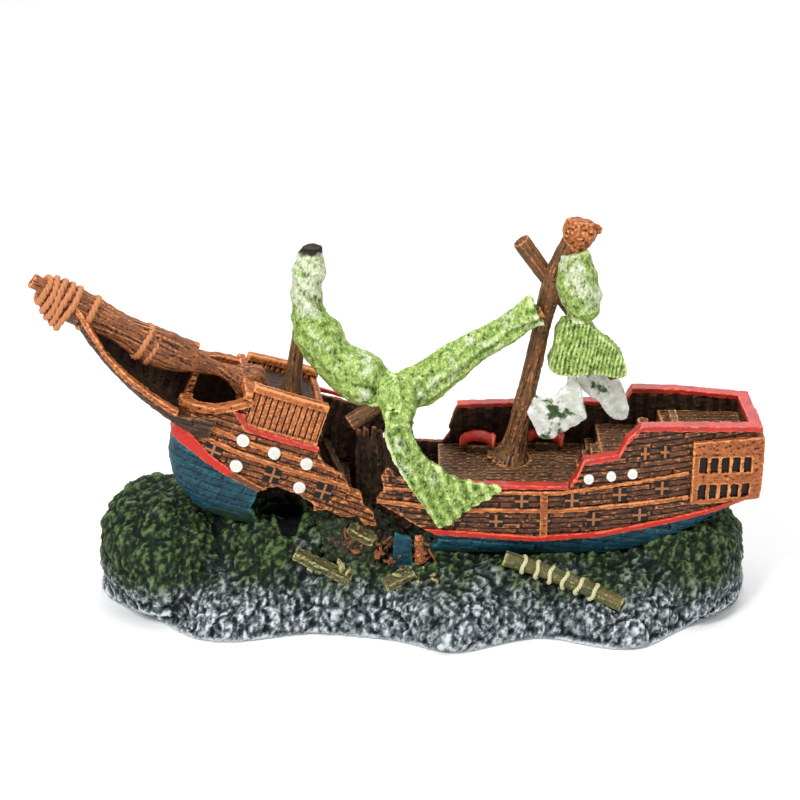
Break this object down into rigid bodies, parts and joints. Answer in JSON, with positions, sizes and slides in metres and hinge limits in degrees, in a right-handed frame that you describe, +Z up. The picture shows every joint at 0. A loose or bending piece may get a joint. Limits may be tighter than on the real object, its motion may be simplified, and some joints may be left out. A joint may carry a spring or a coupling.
{
  "type": "bubbling aquarium ornament",
  "caption": "Cast resin sunken galleon, broken in two on a mossy rock, with masts, torn sails and a rear air inlet feeding an air stone under the rock.",
  "frame": {"origin": "centre of the bounding box in plan, on the tank floor the rock stands on", "axes": "+X from bowsprit to stern, +Y to the rear where the air line goes in, +Z up"},
  "size_m": [0.2728, 0.0961, 0.1556],
  "materials": {
    "rock": "matte, moss green over grey, dry-brushed",
    "brown_resin": "matte, dark wash with orange dry-brushing",
    "orange_resin": "matte, orange brown",
    "dark_wood_resin": "matte, very dark brown",
    "mast_resin": "matte, olive brown with grain",
    "red_paint": "satin red paint on resin",
    "teal_paint": "satin blue-green paint on resin",
    "white_paint": "white paint on resin",
    "black_paint": "black wash",
    "sail_green": "matte, pale green and white algae on cast sail",
    "sail_white": "matte, grey white cast sail",
    "straw_resin": "matte, straw yellow brown",
    "nipple_plastic": "black plastic",
    "bung_rubber": "black rubber",
    "air_stone": "blue-grey sintered mineral"
  },
  "bodies": {
    "wreck": {"rock_base": "rock", "rope_spar": "straw_resin", "rope_wraps": "straw_resin", "fallen_planks": "straw_resin", "keel_fragment": "teal_paint", "broken_frames": "orange_resin", "bow_lower_hull": "teal_paint", "bow_planking": "brown_resin", "bow_stripe": "red_paint", "bow_ports": "black_paint", "bow_studs": "white_paint", "bow_wales": "orange_resin", "bow_rail": "red_paint", "forecastle": "orange_resin", "forecastle_deck": "dark_wood_resin", "foremast": "mast_resin", "bowsprit": "brown_resin", "bowsprit_lashings": "orange_resin", "beakhead": "dark_wood_resin", "beakhead_rail": "orange_resin", "bow_head_rail": "orange_resin", "hold_rubble": "rock", "cathead_beam": "orange_resin", "hold_beams": "dark_wood_resin", "stern_lower_hull": "teal_paint", "stern_planking": "brown_resin", "stern_stripe": "red_paint", "stern_ports": "black_paint", "stern_studs": "white_paint", "stern_wales": "orange_resin", "stern_gallery": "orange_resin", "gallery_windows": "black_paint", "waist_rail": "red_paint", "quarter_rail": "red_paint", "main_deck": "brown_resin", "quarterdeck": "brown_resin", "poop_deck": "brown_resin", "deck_ladder": "brown_resin", "deck_bitts": "brown_resin", "cannon_carriages": "dark_wood_resin", "cannon_barrels": "red_paint", "main_mast": "mast_resin", "mast_top": "orange_resin", "main_yard": "mast_resin", "fallen_spar": "mast_resin", "fore_sail": "sail_green", "fallen_sail": "sail_green", "sail_knot": "sail_green", "draped_sail": "sail_green", "main_topsail": "sail_green", "main_sail": "sail_green", "torn_sail_port": "sail_white", "torn_sail_starboard": "sail_white"},
    "air_unit": {"air_nipple": "nipple_plastic", "air_bung": "bung_rubber", "air_stone": "air_stone"}
  },
  "joints": [
    {"name": "air_unit_pull", "type": "slide", "parent": "wreck", "child": "air_unit", "axis": [0, 1, 0], "range_m": [0, 0.06]}
  ]
}
